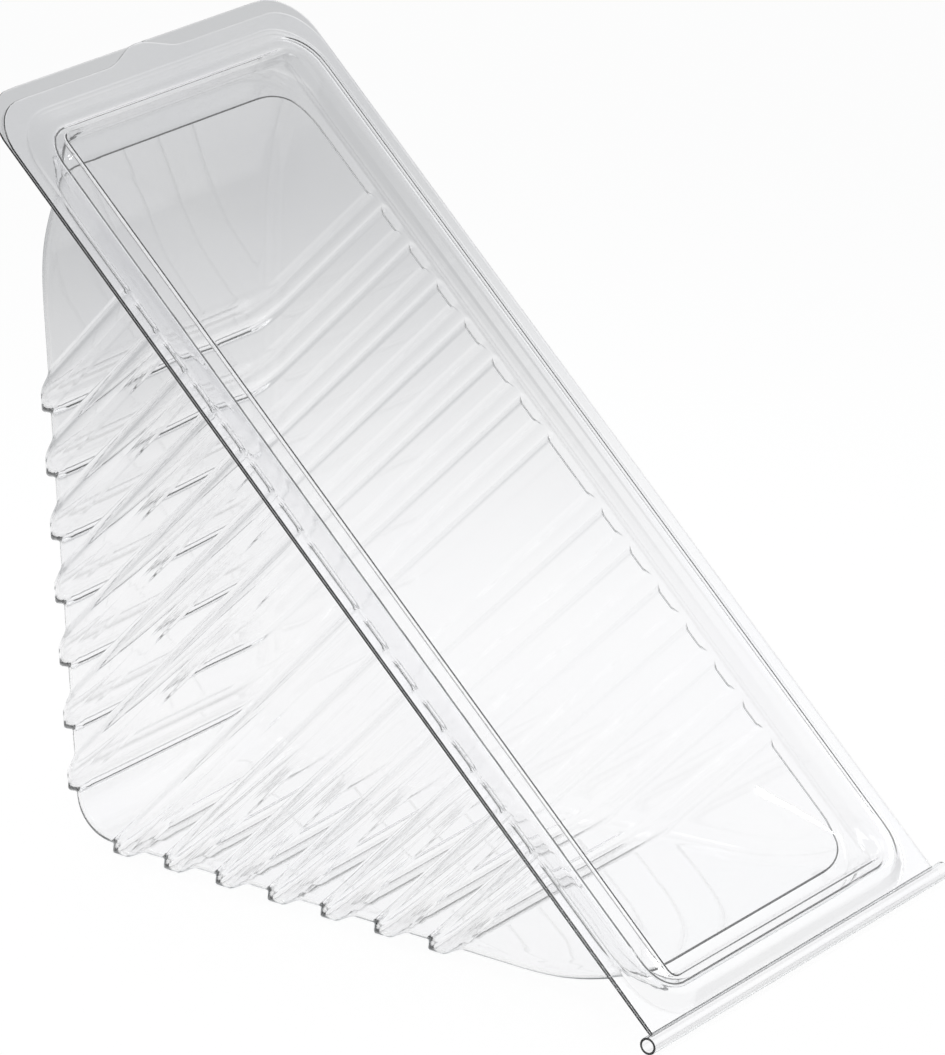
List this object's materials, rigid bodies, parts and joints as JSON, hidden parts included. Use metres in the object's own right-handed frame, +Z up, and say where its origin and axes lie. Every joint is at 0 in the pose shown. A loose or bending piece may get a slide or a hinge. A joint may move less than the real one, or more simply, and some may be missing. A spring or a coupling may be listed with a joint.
{
  "type": "hinged sandwich wedge box",
  "caption": "Clear thermoformed wedge box for triangular sandwich halves, with ribbed legs, a flanged mouth and a hinged lid with finger tabs.",
  "frame": {"origin": "on the surface the box stands on, under the middle of its outline", "axes": "+Z up; the floor leg lies along X with the hinge at +X, the upright leg is at -X, and the lid faces +X and +Z at 45 degrees; Y runs along the hinge"},
  "size_m": [0.133, 0.0866, 0.1337],
  "materials": {
    "clear_pet": "clear thermoformed PET sheet, glossy"
  },
  "bodies": {
    "tray": {"tray": "clear_pet"},
    "lid": {"lid": "clear_pet"}
  },
  "joints": [
    {"name": "lid_hinge", "type": "hinge", "parent": "tray", "child": "lid", "pos_m": [0.0661, 0, 0.00109], "axis": [0, 1, 0], "range_deg": [0, 180]}
  ]
}
